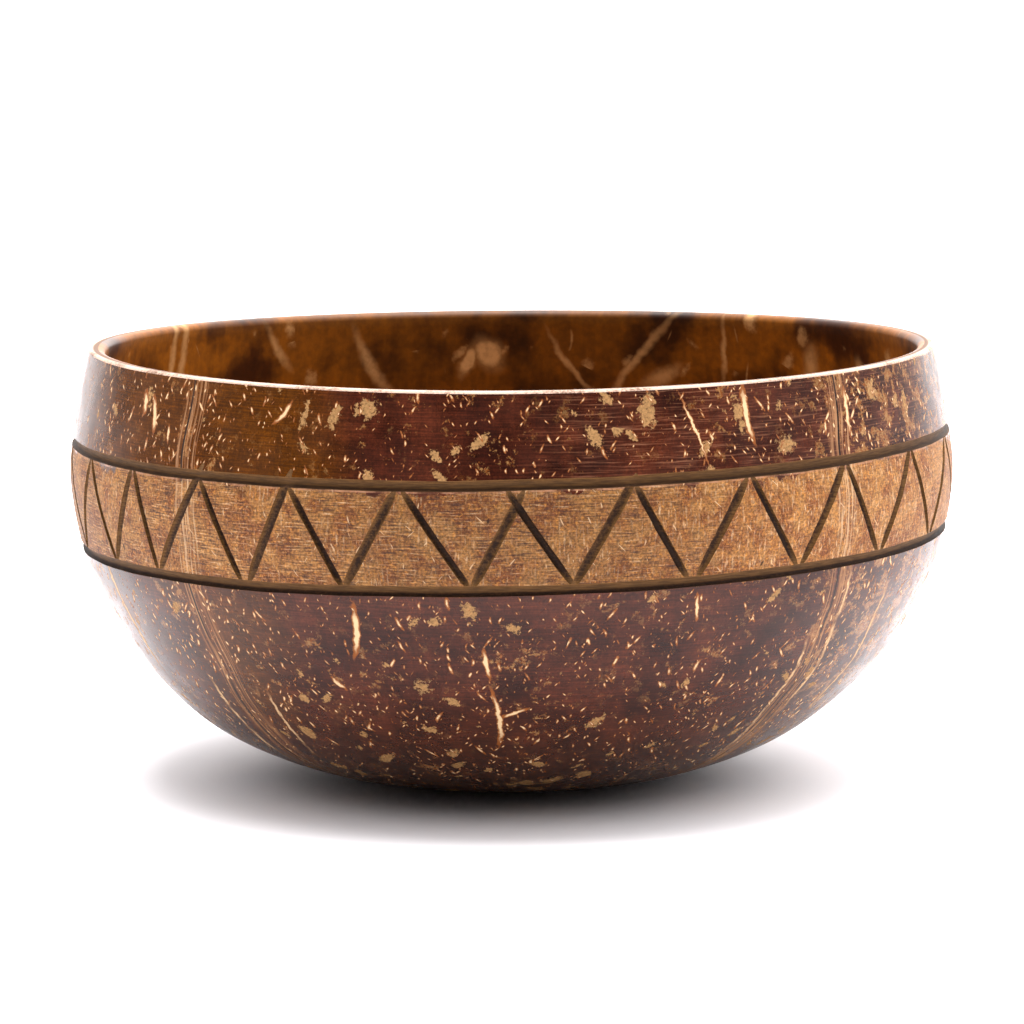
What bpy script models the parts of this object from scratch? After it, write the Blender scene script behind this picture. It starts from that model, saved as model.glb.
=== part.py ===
"""Carved coconut-shell bowl.

The hard shell of a coconut, sawn off a little above its belly, rubbed flat underneath so that it
stands, and rounded at the lip. Two ring grooves run round the outside, and a zigzag of straight
gouge strokes fills the band between them. Metres, +Z up, origin at the middle of the flat seat.
"""
import math

import bmesh
import bpy
import numpy as np
from mathutils import Vector
from mathutils.geometry import interpolate_bezier

# Overall sizes of the shell.
HEIGHT = 0.0655
BELLY_RADIUS = 0.0678
BELLY_HEIGHT = 0.0475
RIM_RADIUS = 0.0647
SEAT_RADIUS = 0.0180

# Thickness of the wall: at the belly, at the lip, and under the seat. The lip's corners are round.
WALL = 0.0032
RIM_WALL = 0.0027
SEAT_WALL = 0.0036
LIP_ROUND = 0.0009

# Outside of the shell as (radius, height), from the lip down to the seat.
SIDE = (
    (RIM_RADIUS, HEIGHT - LIP_ROUND),
    (0.0666, 0.0560),
    (BELLY_RADIUS, BELLY_HEIGHT),
    (0.0665, 0.0375),
    (0.0642, 0.0310),
    (0.0579, 0.0200),
    (0.0465, 0.0090),
    (0.0325, 0.0025),
    (SEAT_RADIUS, 0.0),
)

# The gouge leaves a round-bottomed cut. Each ring leans a little, rising towards +X.
CUT_WIDTH = 0.0015
CUT_DEPTH = 0.0008
UPPER_RING_HEIGHT = 0.0529
UPPER_RING_LEAN = math.radians(0.87)
LOWER_RING_HEIGHT = 0.0378
LOWER_RING_LEAN = math.radians(1.35)

# The zigzag's teeth close up on one side of the bowl and open out on the other.
TEETH = 25
FIRST_PEAK = math.radians(5.9)
PITCH_DRIFT = math.radians(5.73)
DRIFT_PHASE = math.radians(5.5)
STROKE_END_LIFT = 0.0005

# Fineness of the mesh.
COLUMNS = 48
OUTSIDE_STEPS = 2
INSIDE_STEPS = 2
CORNER_STEPS = 3
RING_POINTS = 50
STROKE_POINTS = 4
GOUGE_ROUNDNESS = 1
WELD = 0.000001
SHARP_EDGE = math.radians(35)

SHELL_COLOUR = (0.115, 0.052, 0.026, 1.0)
SHELL_ROUGHNESS = 0.38


def smooth_line(knots, steps):
    """Points of a smooth curve through the knots, with handles a third of each span long."""
    last = len(knots) - 1
    ways = [(knots[min(i + 1, last)] - knots[max(i - 1, 0)]).normalized() for i in range(last + 1)]
    points = []
    for i in range(last):
        start, end = knots[i], knots[i + 1]
        reach = (end - start).length / 3
        span = interpolate_bezier(start, start + ways[i] * reach, end - ways[i + 1] * reach, end, steps + 1)
        points += span[:-1]
    return points + [knots[last]]


def corner(radius, height, first, last):
    """Arc of the lip's corner about (radius, height), between two angles in degrees."""
    arc = []
    for i in range(CORNER_STEPS + 1):
        turn = math.radians(first + (last - first) * i / CORNER_STEPS)
        arc.append(Vector((radius + LIP_ROUND * math.cos(turn), 0, height + LIP_ROUND * math.sin(turn))))
    return arc


def side_knots():
    return [Vector((radius, 0, height)) for radius, height in SIDE]


def inside_knots():
    """The outside's knots, each moved inwards at right angles to the wall by its thickness there."""
    outside = side_knots()
    walls = [RIM_WALL] + [WALL] * (len(outside) - 2) + [SEAT_WALL]
    knots = []
    for i, knot in enumerate(outside):
        way = outside[min(i + 1, len(outside) - 1)] - outside[max(i - 1, 0)]
        inward = Vector((way.z, 0, -way.x)).normalized()
        knots.append(knot + inward * walls[i])
    knots[0].z = HEIGHT - LIP_ROUND
    knots[-1].z = SEAT_WALL
    return knots + [Vector((0, 0, SEAT_WALL))]


def shell_profile():
    """Half section: up the inside from the axis, over the lip, down the outside to the seat's middle."""
    inside = smooth_line(inside_knots(), INSIDE_STEPS)
    outside = smooth_line(side_knots(), OUTSIDE_STEPS)
    lip_height = HEIGHT - LIP_ROUND
    inner_corner = corner(inside[0].x + LIP_ROUND, lip_height, 180, 90)
    outer_corner = corner(RIM_RADIUS - LIP_ROUND, lip_height, 90, 0)
    return inside[:0:-1] + inner_corner + outer_corner + outside[1:] + [Vector((0, 0, 0))]


def side_radius(height):
    """Radius of the outside at a height."""
    line = smooth_line(side_knots(), OUTSIDE_STEPS)[::-1]
    return float(np.interp(height, [point.z for point in line], [point.x for point in line]))


def on_side(angle, height, lift):
    """Point over the outside; the angle is measured from the front (-Y) towards +X."""
    radius = side_radius(height) + lift
    return Vector((radius * math.sin(angle), -radius * math.cos(angle), height))


def ring_height(angle, height, lean):
    return height + side_radius(height) * math.tan(lean) * math.sin(angle)


def ring_line(height, lean):
    """Closed line round the bowl on which the ring groove's cutter is centred."""
    lift = CUT_WIDTH / 2 - CUT_DEPTH
    turns = [2 * math.pi * i / RING_POINTS for i in range(RING_POINTS)]
    return [on_side(turn, ring_height(turn, height, lean), lift) for turn in turns]


def peak_angle(tooth):
    even = 2 * math.pi * tooth / TEETH
    return FIRST_PEAK + even - PITCH_DRIFT * math.cos(even + DRIFT_PHASE)


def stroke_line(peak, valley):
    """One gouge stroke from the upper ring down to the lower ring, shallower at its two ends."""
    top = ring_height(peak, UPPER_RING_HEIGHT, UPPER_RING_LEAN)
    foot = ring_height(valley, LOWER_RING_HEIGHT, LOWER_RING_LEAN)
    line = []
    for i in range(STROKE_POINTS):
        share = i / (STROKE_POINTS - 1)
        lift = CUT_WIDTH / 2 - CUT_DEPTH
        if i in (0, STROKE_POINTS - 1):
            lift += STROKE_END_LIFT
        line.append(on_side(peak + (valley - peak) * share, top + (foot - top) * share, lift))
    return line


def add_gouge(name, lines, closed, collection):
    """Cutter made of round tubes, one along each line."""
    curve = bpy.data.curves.new(name + "_path", "CURVE")
    curve.dimensions = "3D"
    curve.bevel_depth = CUT_WIDTH / 2
    curve.bevel_resolution = GOUGE_ROUNDNESS
    curve.use_fill_caps = True
    for line in lines:
        spline = curve.splines.new("POLY")
        spline.points.add(len(line) - 1)
        spline.use_cyclic_u = closed
        for point, place in zip(spline.points, line):
            point.co = (*place, 1)
    path = bpy.data.objects.new(name + "_path", curve)
    collection.objects.link(path)
    mesh = mesh_of(path)
    mesh.name = name
    bpy.data.objects.remove(path)
    cutter = bpy.data.objects.new(name, mesh)
    cutter.hide_render = True
    cutter.display_type = "WIRE"
    collection.objects.link(cutter)
    return cutter


def mesh_of(item):
    """The object's evaluated mesh, with the loose caps of its tubes welded on."""
    depsgraph = bpy.context.evaluated_depsgraph_get()
    mesh = bpy.data.meshes.new_from_object(item.evaluated_get(depsgraph))
    work = bmesh.new()
    work.from_mesh(mesh)
    bmesh.ops.remove_doubles(work, verts=work.verts, dist=WELD)
    work.to_mesh(mesh)
    work.free()
    return mesh


def add_turned_shell(collection):
    """The half section swept once round the Z axis."""
    profile = shell_profile()
    mesh = bpy.data.meshes.new("coconut_shell_profile")
    mesh.from_pydata(profile, [(i, i + 1) for i in range(len(profile) - 1)], [])
    shell = bpy.data.objects.new("coconut_shell", mesh)
    collection.objects.link(shell)
    turn = shell.modifiers.new("turn", "SCREW")
    turn.axis = "Z"
    turn.steps = COLUMNS
    turn.render_steps = COLUMNS
    turn.use_merge_vertices = True
    turn.merge_threshold = 0.0001
    return shell


def polished_shell_material():
    material = bpy.data.materials.new("polished_coconut_shell")
    material.use_nodes = True
    shader = material.node_tree.nodes["Principled BSDF"]
    shader.inputs["Base Color"].default_value = SHELL_COLOUR
    shader.inputs["Roughness"].default_value = SHELL_ROUGHNESS
    shader.inputs["Metallic"].default_value = 0.0
    return material


def cut(shell, cutters):
    """Takes the cutters out of the shell and leaves the result as a plain mesh."""
    for cutter in cutters:
        groove = shell.modifiers.new(cutter.name, "BOOLEAN")
        groove.operation = "DIFFERENCE"
        groove.solver = "EXACT"
        groove.object = cutter
    carved = mesh_of(shell)
    shell.modifiers.clear()
    shell.data = carved
    carved.name = "coconut_shell"
    carved.shade_smooth()
    carved.set_sharp_from_angle(angle=SHARP_EDGE)
    carved.materials.clear()
    carved.materials.append(polished_shell_material())


for old in list(bpy.data.objects):
    bpy.data.objects.remove(old)

bowl = bpy.data.collections.new("coconut_bowl")
gouges = bpy.data.collections.new("cutters")
for group in (bowl, gouges):
    bpy.context.scene.collection.children.link(group)

peaks = [peak_angle(tooth) for tooth in range(TEETH + 1)]
valleys = [(left + right) / 2 for left, right in zip(peaks[:-1], peaks[1:])]
upper_ring = [ring_line(UPPER_RING_HEIGHT, UPPER_RING_LEAN)]
lower_ring = [ring_line(LOWER_RING_HEIGHT, LOWER_RING_LEAN)]
down_strokes = [stroke_line(peak, valley) for peak, valley in zip(peaks[:-1], valleys)]
up_strokes = [stroke_line(peak, valley) for peak, valley in zip(peaks[1:], valleys)]

cut(add_turned_shell(bowl), [
    add_gouge("upper_ring_gouge", upper_ring, True, gouges),
    add_gouge("lower_ring_gouge", lower_ring, True, gouges),
    add_gouge("down_stroke_gouge", down_strokes, False, gouges),
    add_gouge("up_stroke_gouge", up_strokes, False, gouges),
])
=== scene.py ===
"""Looks of the carved coconut-shell bowl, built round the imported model. Metres, +Z up, front at -Y."""
import math

import bmesh
import bpy
import numpy as np
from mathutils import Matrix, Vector, noise
from mathutils.geometry import interpolate_bezier


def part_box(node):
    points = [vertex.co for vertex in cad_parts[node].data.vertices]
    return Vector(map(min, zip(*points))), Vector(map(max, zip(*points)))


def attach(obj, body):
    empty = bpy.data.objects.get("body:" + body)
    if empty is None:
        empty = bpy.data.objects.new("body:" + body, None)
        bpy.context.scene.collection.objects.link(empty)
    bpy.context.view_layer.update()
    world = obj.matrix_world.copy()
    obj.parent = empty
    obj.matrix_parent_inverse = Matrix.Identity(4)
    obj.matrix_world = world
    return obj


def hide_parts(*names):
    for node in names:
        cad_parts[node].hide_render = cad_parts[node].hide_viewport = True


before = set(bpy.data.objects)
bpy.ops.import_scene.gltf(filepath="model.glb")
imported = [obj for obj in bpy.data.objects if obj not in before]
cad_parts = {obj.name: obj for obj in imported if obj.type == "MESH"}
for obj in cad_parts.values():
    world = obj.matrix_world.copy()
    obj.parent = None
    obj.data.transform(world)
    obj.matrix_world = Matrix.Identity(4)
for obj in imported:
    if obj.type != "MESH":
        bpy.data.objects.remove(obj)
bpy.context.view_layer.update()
MM = 0.001

# ---------------------------------------------------------------------------------------------------
# The shell before carving. The real bowl is the lower part of a coconut's hard shell, about 3 mm
# thick: sawn off a little above its belly, scraped and sanded by hand outside and inside, rounded at
# the lip and rubbed flat underneath. It isn't quite round, and its rim leans a little.
# ---------------------------------------------------------------------------------------------------
node_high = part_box("coconut_shell")[1]
HEIGHT = node_high.z
BELLY_RADIUS = node_high.x
BELLY_HEIGHT = 47.5 * MM
RIM_RADIUS = 64.7 * MM
SEAT_RADIUS = 18.0 * MM
WALL = 3.2 * MM
RIM_WALL = 2.6 * MM
SEAT_WALL = 3.6 * MM
LIP_ROUND = 0.6 * MM
LIP_INNER_ROUND = 1.1 * MM
SIDE = (
    (RIM_RADIUS, HEIGHT - LIP_ROUND),
    (66.6 * MM, 56.0 * MM),
    (BELLY_RADIUS, BELLY_HEIGHT),
    (66.5 * MM, 37.5 * MM),
    (64.2 * MM, 31.0 * MM),
    (57.9 * MM, 20.0 * MM),
    (46.5 * MM, 9.0 * MM),
    (32.5 * MM, 2.5 * MM),
    (SEAT_RADIUS, 0.0),
)
COLUMNS = 360
OUTSIDE_STEPS = 13
INSIDE_STEPS = 6
SEAT_STEPS = 4
CORNER_STEPS = 4
RIM_LEAN_RIGHT = math.radians(0.38)
RIM_LEAN_FRONT = math.radians(0.60)
RIM_LIFT = 0.3 * MM
RIM_WAVE = 0.4 * MM
# How far the hand-worked shell strays from a true turned one.
ROUND_ERROR = 0.20 * MM
BASE_ERROR = 0.7 * MM
LONG_WAVE = 0.11 * MM
LONG_WAVE_LENGTH = 17 * MM
SHORT_WAVE = 0.035 * MM
SHORT_WAVE_LENGTH = 6 * MM
INSIDE_WAVE = 0.22 * MM
INSIDE_WAVE_LENGTH = 21 * MM
SCRAPED_DEPTH = 0.10 * MM
SCRAPE_MARK = 0.035 * MM
SCRAPE_HEIGHT = 0.9 * MM
SCRAPED_EDGE = 1.2 * MM

UPPER_RING_HEIGHT = 52.9 * MM
UPPER_RING_LEAN = math.radians(0.87)
LOWER_RING_HEIGHT = 37.8 * MM
LOWER_RING_LEAN = math.radians(1.35)


def smooth_line(knots, steps):
    """Points of a smooth curve through the knots, with handles a third of each span long."""
    last = len(knots) - 1
    ways = [(knots[min(i + 1, last)] - knots[max(i - 1, 0)]).normalized() for i in range(last + 1)]
    points = []
    for i in range(last):
        start, end = knots[i], knots[i + 1]
        reach = (end - start).length / 3
        span = interpolate_bezier(start, start + ways[i] * reach, end - ways[i + 1] * reach, end, steps + 1)
        points += span[:-1]
    return points + [knots[last]]


def lip_corner(middle, rounding, first, last):
    arc = []
    for i in range(CORNER_STEPS + 1):
        turn = math.radians(first + (last - first) * i / CORNER_STEPS)
        rise = HEIGHT - rounding + rounding * math.sin(turn)
        arc.append(Vector((middle + rounding * math.cos(turn), 0, rise)))
    return arc


side_knots = [Vector((radius, 0, height)) for radius, height in SIDE]
side_line = smooth_line(side_knots, OUTSIDE_STEPS)
inside_knots = []
walls = [RIM_WALL] + [WALL] * (len(side_knots) - 2) + [SEAT_WALL]
for i, knot in enumerate(side_knots):
    way = side_knots[min(i + 1, len(side_knots) - 1)] - side_knots[max(i - 1, 0)]
    inside_knots.append(knot + Vector((way.z, 0, -way.x)).normalized() * walls[i])
inside_knots[0].z = HEIGHT - LIP_INNER_ROUND
inside_knots[-1].z = SEAT_WALL
inside_line = smooth_line(inside_knots + [Vector((0, 0, SEAT_WALL))], INSIDE_STEPS)
inner_corner = lip_corner(inside_line[0].x + LIP_INNER_ROUND, LIP_INNER_ROUND, 180, 90)
outer_corner = lip_corner(RIM_RADIUS - LIP_ROUND, LIP_ROUND, 90, 0)
seat_line = [Vector((SEAT_RADIUS * (1 - i / SEAT_STEPS), 0, 0)) for i in range(1, SEAT_STEPS)]

side_heights = [point.z for point in reversed(side_line)]
side_radii = [point.x for point in reversed(side_line)]


def soft_step(low, high, value):
    """0 where the value is low, 1 where it is high, with a smooth change between."""
    share = min(max((value - low) / (high - low), 0.0), 1.0)
    return share * share * (3 - 2 * share)


def hand_relief(angle, height):
    """How far the hand-worked outside stands proud of the true turned form."""
    place = Vector((BELLY_RADIUS * math.sin(angle), -BELLY_RADIUS * math.cos(angle), height))
    relief = ROUND_ERROR * math.cos(3 * angle + 1.1) * math.sin(math.pi * height / (1.3 * HEIGHT))
    relief -= BASE_ERROR * math.sin(angle) * soft_step(22 * MM, 8 * MM, height)
    relief += LONG_WAVE * noise.noise(place / LONG_WAVE_LENGTH)
    relief += SHORT_WAVE * noise.noise(place / SHORT_WAVE_LENGTH + Vector((7, 3, 1)))
    above = height - UPPER_RING_HEIGHT - place.x * math.tan(UPPER_RING_LEAN)
    below = height - LOWER_RING_HEIGHT - place.x * math.tan(LOWER_RING_LEAN)
    scraped = soft_step(0, SCRAPED_EDGE, below) * soft_step(0, SCRAPED_EDGE, -above)
    scrape = noise.noise(Vector((math.cos(angle) * 9, math.sin(angle) * 9, height / SCRAPE_HEIGHT)))
    return relief - scraped * (SCRAPED_DEPTH + SCRAPE_MARK * scrape)


def side_radius(angle, height):
    return float(np.interp(height, side_heights, side_radii)) + hand_relief(angle, height)


def rim_rise(point):
    """How far the uneven saw cut lifts a point; the shell below its belly stays true."""
    lean = math.tan(RIM_LEAN_RIGHT) * point.x - math.tan(RIM_LEAN_FRONT) * point.y
    wave = RIM_LIFT - RIM_WAVE * math.cos(2 * math.atan2(point.x, -point.y))
    return (lean + wave) * soft_step(BELLY_HEIGHT, HEIGHT, point.z)


def leaned(point):
    return point + Vector((0, 0, rim_rise(point)))


# Profile rows from the middle of the inside, over the lip and down to the seat, each with the
# material slot of the strip below it. The cuts get theirs after the carving.
OUTSIDE, LIP, INSIDE, CUT = 0, 1, 2, 3
rows = [(point, INSIDE) for point in inside_line[-2:0:-1]]
rows += [(point, INSIDE) for point in inner_corner[:-1]]
rows += [(point, LIP) for point in inner_corner[-1:] + outer_corner[:3]]
rows += [(point, OUTSIDE) for point in outer_corner[3:-1]]
rows += [(point, OUTSIDE) for point in side_line]
rows += [(point, OUTSIDE) for point in seat_line]
corners = []
for column in range(COLUMNS):
    angle = 2 * math.pi * column / COLUMNS
    across = Vector((math.sin(angle), -math.cos(angle), 0))
    for point, strip in rows:
        place = across * point.x + Vector((0, 0, point.z))
        if strip == OUTSIDE and point.z > 0:
            place += across * hand_relief(angle, point.z) * soft_step(0, 2 * MM, point.z)
        else:
            wave = noise.noise(place / INSIDE_WAVE_LENGTH)
            place += across * INSIDE_WAVE * wave * soft_step(0, 5 * MM, point.z)
            place += across * hand_relief(angle, HEIGHT) * soft_step(0.4 * HEIGHT, HEIGHT, point.z)
        corners.append(leaned(place))
inner_middle, seat_middle = len(corners), len(corners) + 1
corners += [Vector((0, 0, SEAT_WALL)), Vector((0, 0, 0))]
faces, slots = [], []
for column in range(COLUMNS):
    here, there = column * len(rows), (column + 1) % COLUMNS * len(rows)
    faces.append((inner_middle, here, there))
    slots.append(INSIDE)
    for row in range(len(rows) - 1):
        faces.append((here + row, here + row + 1, there + row + 1, there + row))
        slots.append(rows[row][1])
    faces.append((here + len(rows) - 1, seat_middle, there + len(rows) - 1))
    slots.append(OUTSIDE)
shell_mesh = bpy.data.meshes.new("coconut_shell_visual")
shell_mesh.from_pydata(corners, [], faces)
shell_mesh.polygons.foreach_set("material_index", slots)
bowl = bpy.data.objects.new("coconut_shell_visual", shell_mesh)
bpy.context.scene.collection.objects.link(bowl)

# ---------------------------------------------------------------------------------------------------
# The carving. A small round-nosed gouge, about 1.5 mm wide, was pushed round the shell twice for the
# rings, and then in short straight strokes between them for the zigzag. Each stroke starts and ends
# shallow, so it narrows to a point, and some run past the ring or miss the next stroke by a little.
# ---------------------------------------------------------------------------------------------------
# Each sink is how far the middle of the round tool goes below the shell's surface. The strokes that go
# down to the right are narrower and deeper than the ones that come up to the next peak.
GOUGE_RADIUS = 0.80 * MM
GOUGE_SINK = 0.02 * MM
DOWN_RADIUS = 0.62 * MM
DOWN_SINK = 0.28 * MM
UP_RADIUS = 0.72 * MM
UP_SINK = -0.04 * MM
# A stroke's tips: the width there as a share of the full width, and how far the tool is lifted.
STROKE_TIP = 0.36
STROKE_END_LIFT = 0.16 * MM
STROKE_START = 0.3 * MM
STROKE_BOW = 0.10 * MM
STROKE_DEEPEST = (0.4, 0.65)
PRESS_CHANGE = 0.045
RING_WANDER = 0.16 * MM
RING_SHAKE = 0.07 * MM
STROKE_POINTS = 15
RING_POINTS = 480
GOUGE_ROUNDNESS = 5
# From this depth in mm on, a face counts as cut, between these heights.
CUT_SHOWS = 0.03
CARVED_LOW = 30 * MM
CARVED_HIGH = 58 * MM
SHARP_FROM = math.radians(32)
WELD = 0.001 * MM
TEETH = 25
FIRST_PEAK = math.radians(5.9)
PITCH_DRIFT = math.radians(5.73)
DRIFT_PHASE = math.radians(5.5)
# Strokes that run on over the upper ring, in millimetres, and two that cross below it, in degrees.
OVERSHOOTS = {22: 2.0, 23: 2.1, 1: 1.3}
CROSSINGS = {0: 2.4}
# Peaks and valleys that are off the even rhythm, in degrees.
PEAK_SHIFTS = {0: 0.4, 2: 0.9, 3: 1.1, 4: 0.7, 24: 0.5}
VALLEY_SHIFTS = {21: -2.2, 24: 1.7}
# How far the hand misses: half the gap at a valley and the overlap of two strokes at a peak, in degrees,
# and how far a stroke runs on over the upper ring, in millimetres.
VALLEY_GAPS = (-0.2, 0.6)
PEAK_OVERLAPS = (-0.7, 0.1)
RUN_ONS = (-0.4, 0.5)
HAND_SEED = 11
hand = np.random.default_rng(HAND_SEED)


def on_side(angle, height, lift):
    """Point over the carved outside; the angle is measured from the front (-Y) towards +X."""
    radius = side_radius(angle, height) + lift
    return leaned(Vector((radius * math.sin(angle), -radius * math.cos(angle), height)))


def ring_height(angle, height, lean):
    rise = BELLY_RADIUS * math.tan(lean) * math.sin(angle)
    place = Vector((math.cos(angle), math.sin(angle), height / MM))
    wander = RING_WANDER * noise.noise(place * 2.3) + RING_SHAKE * noise.noise(place * 8.1)
    return height + rise + wander


def ring_line(height, lean):
    """The ring's closed line, as (point, width factor)."""
    line = []
    for i in range(RING_POINTS):
        turn = 2 * math.pi * i / RING_POINTS
        place = Vector((math.cos(turn), math.sin(turn), height / MM))
        press = 1 + 0.10 * noise.noise(place * 5.3) + 0.05 * noise.noise(place * 23.7)
        line.append((on_side(turn, ring_height(turn, height, lean), -GOUGE_SINK), press))
    return line


def peak_angle(tooth):
    even = 2 * math.pi * tooth / TEETH
    shift = math.radians(PEAK_SHIFTS.get(tooth % TEETH, 0.0))
    return FIRST_PEAK + even - PITCH_DRIFT * math.cos(even + DRIFT_PHASE) + shift


def stroke_line(peak, valley, overshoot, sink):
    """One stroke from the upper ring down to the lower ring, as (point, width factor).

    It is pushed straight as the front sees it, so it gives way sideways where the belly bulges.
    """
    top = ring_height(peak, UPPER_RING_HEIGHT, UPPER_RING_LEAN) - STROKE_START
    foot = ring_height(valley, LOWER_RING_HEIGHT, LOWER_RING_LEAN) + STROKE_START
    extra = overshoot / (top - foot)
    bow = hand.uniform(-STROKE_BOW, STROKE_BOW) / BELLY_RADIUS
    deepest = hand.uniform(*STROKE_DEEPEST)
    ends = (side_radius(peak, top), side_radius(valley, foot))
    line = []
    for i in range(STROKE_POINTS):
        share = -extra + (1 + extra) * i / (STROKE_POINTS - 1)
        along = i / (STROKE_POINTS - 1)
        reach = along / deepest if along < deepest else (1 - along) / (1 - deepest)
        press = STROKE_TIP + (1 - STROKE_TIP) * math.sin(math.pi / 2 * min(reach * 2.2, 1)) ** 0.7
        press *= 1 + hand.uniform(-PRESS_CHANGE, PRESS_CHANGE)
        angle = peak + (valley - peak) * share + bow * math.sin(math.pi * along)
        height = top + (foot - top) * share
        bulge = side_radius(angle, height) - ends[0] - (ends[1] - ends[0]) * share
        angle -= bulge * math.sin(angle) / BELLY_RADIUS
        lift = STROKE_END_LIFT * max(0.0, 1 - 4 * reach) - sink * min(2.5 * reach, 1)
        line.append((on_side(angle, height, lift), press))
    return line


def add_gouge(name, lines, radius, closed):
    """Cutter made of round tubes, one along each line of (point, width factor)."""
    curve = bpy.data.curves.new(name, "CURVE")
    curve.dimensions = "3D"
    curve.bevel_depth = radius
    curve.bevel_resolution = GOUGE_ROUNDNESS
    curve.use_fill_caps = True
    for line in lines:
        spline = curve.splines.new("POLY")
        spline.points.add(len(line) - 1)
        spline.use_cyclic_u = closed
        for point, (place, press) in zip(spline.points, line):
            point.co = (*place, 1)
            point.radius = press
    path = bpy.data.objects.new(name + "_path", curve)
    bpy.context.scene.collection.objects.link(path)
    depsgraph = bpy.context.evaluated_depsgraph_get()
    mesh = bpy.data.meshes.new_from_object(path.evaluated_get(depsgraph))
    bpy.data.objects.remove(path)
    work = bmesh.new()
    work.from_mesh(mesh)
    bmesh.ops.remove_doubles(work, verts=work.verts, dist=WELD)
    work.to_mesh(mesh)
    work.free()
    cutter = bpy.data.objects.new(name, mesh)
    bpy.context.scene.collection.objects.link(cutter)
    return cutter


peaks = [peak_angle(tooth) for tooth in range(TEETH + 1)]
down_strokes, up_strokes = [], []
for tooth in range(TEETH):
    middle = (peaks[tooth] + peaks[tooth + 1]) / 2 + math.radians(VALLEY_SHIFTS.get(tooth, 0.0))
    gap = math.radians(hand.uniform(*VALLEY_GAPS))
    spread = math.radians(CROSSINGS.get(tooth, hand.uniform(*PEAK_OVERLAPS)) / 2)
    next_spread = math.radians(CROSSINGS.get((tooth + 1) % TEETH, hand.uniform(*PEAK_OVERLAPS)) / 2)
    down_strokes.append(stroke_line(peaks[tooth] - spread, middle - gap, 0.0, DOWN_SINK))
    over = OVERSHOOTS.get((tooth + 1) % TEETH, hand.uniform(*RUN_ONS)) * MM
    up_strokes.append(stroke_line(peaks[tooth + 1] + next_spread, middle + gap, over, UP_SINK))
gouges = [
    add_gouge("upper_ring_gouge", [ring_line(UPPER_RING_HEIGHT, UPPER_RING_LEAN)], GOUGE_RADIUS, True),
    add_gouge("lower_ring_gouge", [ring_line(LOWER_RING_HEIGHT, LOWER_RING_LEAN)], GOUGE_RADIUS, True),
    add_gouge("down_stroke_gouge", down_strokes, DOWN_RADIUS, False),
    add_gouge("up_stroke_gouge", up_strokes, UP_RADIUS, False),
]
for gouge in gouges:
    cut = bowl.modifiers.new(gouge.name, "BOOLEAN")
    cut.operation = "DIFFERENCE"
    cut.solver = "MANIFOLD"
    cut.object = gouge
depsgraph = bpy.context.evaluated_depsgraph_get()
carved = bpy.data.meshes.new_from_object(bowl.evaluated_get(depsgraph))
bowl.modifiers.clear()
bowl.data = carved
for gouge in gouges:
    bpy.data.objects.remove(gouge)

# How deep each point lies under the uncut outside, and how far above each ring, in millimetres. The
# cut's faces are those that go below the outside.
depths, above_upper, above_lower = [], [], []
for vertex in carved.vertices:
    x, y, z = vertex.co
    turn = math.atan2(x, -y)
    height = z - rim_rise(vertex.co)
    in_band = CARVED_LOW < height < CARVED_HIGH
    depth = side_radius(turn, height) - math.hypot(x, y) if in_band else 0.0
    depths.append(max(depth, 0.0) / MM)
    above_upper.append((height - ring_height(turn, UPPER_RING_HEIGHT, UPPER_RING_LEAN)) / MM)
    above_lower.append((height - ring_height(turn, LOWER_RING_HEIGHT, LOWER_RING_LEAN)) / MM)
for name, values in (("cut_depth", depths), ("above_upper", above_upper), ("above_lower", above_lower)):
    carved.attributes.new(name, "FLOAT", "POINT").data.foreach_set("value", values)
slots = []
for face in carved.polygons:
    deepest = max(depths[corner] for corner in face.vertices)
    slots.append(CUT if face.material_index == OUTSIDE and deepest > CUT_SHOWS else face.material_index)
carved.materials.clear()
carved.shade_smooth()
carved.set_sharp_from_angle(angle=SHARP_FROM)

# ---------------------------------------------------------------------------------------------------
# Coconut shell, sanded and oiled: the dark outer skin, satin-glossy. Vascular fibres end in it as
# short cream flecks, mostly along the meridians, with torn tan patches where the husk was rooted, long
# pale strands, and three growth sutures, seen as bundles of fine lines. Between the rings the skin was
# scraped off, which leaves the paler, rough and matt fibrous shell.
# ---------------------------------------------------------------------------------------------------
SKIN_DARK = "260C05"
SKIN_RED = "3E1A0D"
SKIN_WARM = "311200"
SKIN_OLIVE = "412001"
FLECK_CREAM = "C6A87F"
FLECK_RUST = "774016"
TORN_TAN = "936E43"
CRACK_DARK = "160904"
SCRAPED_TAN = "875D30"
SCRAPED_RUST = "653614"
SCRAPED_GOLD = "A56B29"
SCRAPED_DARK = "3B251C"
SCRAPED_PALE = "B59672"
BURNISH_AND_SHEEN = "9A6E53"
OIL_IOR = 1.47
# The growth sutures, in degrees from the front, and the spacing and length in mm of their lines.
SUTURES = (-44.2, 46.5, 180.0)
LINE_SPACING = 0.42
LINE_LENGTH = 16.0
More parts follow.
